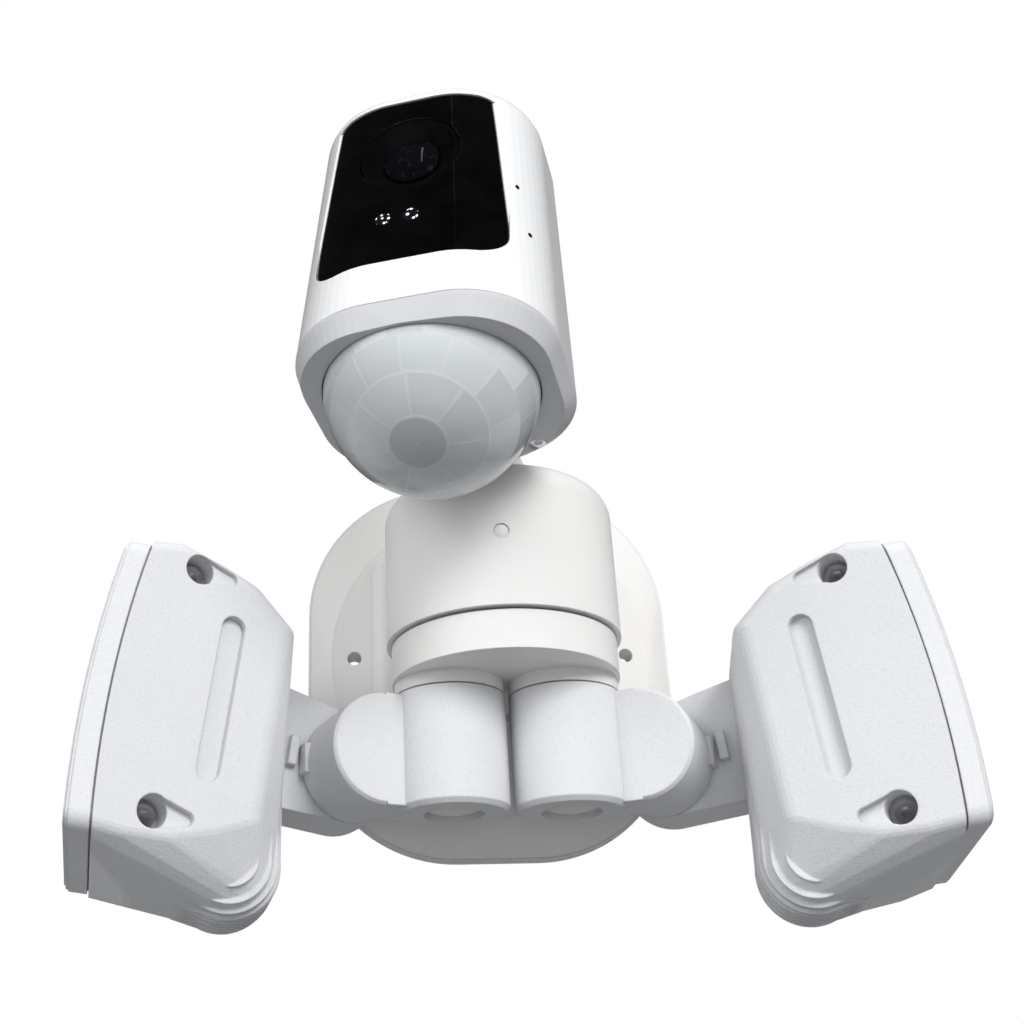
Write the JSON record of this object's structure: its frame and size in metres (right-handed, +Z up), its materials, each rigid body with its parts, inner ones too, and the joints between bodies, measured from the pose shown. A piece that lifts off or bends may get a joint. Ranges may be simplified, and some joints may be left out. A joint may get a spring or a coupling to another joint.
{
  "type": "floodlight security camera",
  "caption": "Wall floodlight with a security camera: round column on a domed plate, square lamps on pan and tilt knuckles, camera head with a motion sensor dome.",
  "frame": {"origin": "middle of the wall face of the plate", "axes": "-Y out of the wall toward the viewer, +Z up, +X to the viewer's right"},
  "size_m": [0.2535, 0.1529, 0.2272],
  "materials": {
    "white_plastic": "fine satin grain",
    "white_coat": "fine powder coat",
    "gloss_white": "gloss",
    "grey_plastic": "satin",
    "gloss_black": "gloss",
    "matte_black": "matte",
    "milky_dome": "soft sheen, milky",
    "optic_glass": "coated",
    "lamp_glass": "frosted",
    "steel": "plated",
    "brass": "plain",
    "rubber": "matte",
    "board_green": "solder mask",
    "board_white": "white mask",
    "reflector_chrome": "mirror",
    "phosphor": "matte"
  },
  "bodies": {
    "base": {"wall_plate": "white_plastic", "wall_gasket": "rubber", "column_sleeve": "white_plastic", "column_base": "grey_plastic", "sleeve_pip": "white_plastic", "column_screws": "steel", "driver_board": "board_green", "board_parts": "matte_black", "terminal_block": "grey_plastic", "earth_screw": "brass", "pan_studs": "steel", "stud_nuts": "steel", "pan_washers": "rubber"},
    "neck": {"neck_swivel": "white_plastic", "neck_pin": "steel"},
    "head": {"head_shell": "gloss_white", "head_base": "grey_plastic", "front_panel": "gloss_black", "lens_ring": "matte_black", "lens_glass": "optic_glass", "lens_barrel": "matte_black", "ir_leds": "optic_glass", "pir_dome": "milky_dome", "pir_sensor": "steel", "main_board": "board_green", "speaker": "matte_black", "microphone": "steel", "card_reader": "steel", "side_dots": "matte_black", "head_screws": "steel"},
    "reset_key": {"reset_button": "gloss_white"},
    "knuckle_left": {"knuckle_left": "white_coat", "pan_plug_left": "white_plastic", "tilt_bolt_left": "steel", "tilt_nut_left": "steel", "tilt_washer_left": "rubber"},
    "lamp_left": {"bracket_left": "white_coat", "lamp_housing_left": "white_coat", "lamp_bezel_left": "white_coat", "lamp_lens_left": "lamp_glass", "lamp_gasket_left": "rubber", "reflector_left": "reflector_chrome", "led_board_left": "board_white", "led_chips_left": "phosphor", "lamp_screws_left": "steel"},
    "knuckle_right": {"knuckle_right": "white_coat", "pan_plug_right": "white_plastic", "tilt_bolt_right": "steel", "tilt_nut_right": "steel", "tilt_washer_right": "rubber"},
    "lamp_right": {"bracket_right": "white_coat", "lamp_housing_right": "white_coat", "lamp_bezel_right": "white_coat", "lamp_lens_right": "lamp_glass", "lamp_gasket_right": "rubber", "reflector_right": "reflector_chrome", "led_board_right": "board_white", "led_chips_right": "phosphor", "lamp_screws_right": "steel"}
  },
  "joints": [
    {"name": "head_pan", "type": "hinge", "parent": "base", "child": "neck", "pos_m": [0, -0.05, 0.04], "axis": [0, 0, 1], "range_deg": [-30, 30]},
    {"name": "head_tilt", "type": "hinge", "parent": "neck", "child": "head", "pos_m": [-0.00698, -0.07086, 0.05], "axis": [-0.9483, 0.3173, 0], "range_deg": [-1, 20]},
    {"name": "reset_press", "type": "slide", "parent": "head", "child": "reset_key", "axis": [0.9483, -0.3173, 0], "range_m": [0, 0.001], "stiffness_N_per_m": 300},
    {"name": "pan_left", "type": "hinge", "parent": "base", "child": "knuckle_left", "pos_m": [-0.0168, -0.05, -0.043], "axis": [0, 0, 1], "range_deg": [-6, 30]},
    {"name": "tilt_left", "type": "hinge", "parent": "knuckle_left", "child": "lamp_left", "pos_m": [-0.03653, -0.05829, -0.0433], "axis": [-0.3875, 0.9219, 0], "range_deg": [-25, 15]},
    {"name": "pan_right", "type": "hinge", "parent": "base", "child": "knuckle_right", "pos_m": [0.0168, -0.05, -0.043], "axis": [0, 0, -1], "range_deg": [-6, 30]},
    {"name": "tilt_right", "type": "hinge", "parent": "knuckle_right", "child": "lamp_right", "pos_m": [0.03621, -0.05901, -0.0433], "axis": [-0.421, -0.907, 0], "range_deg": [-25, 15]}
  ]
}
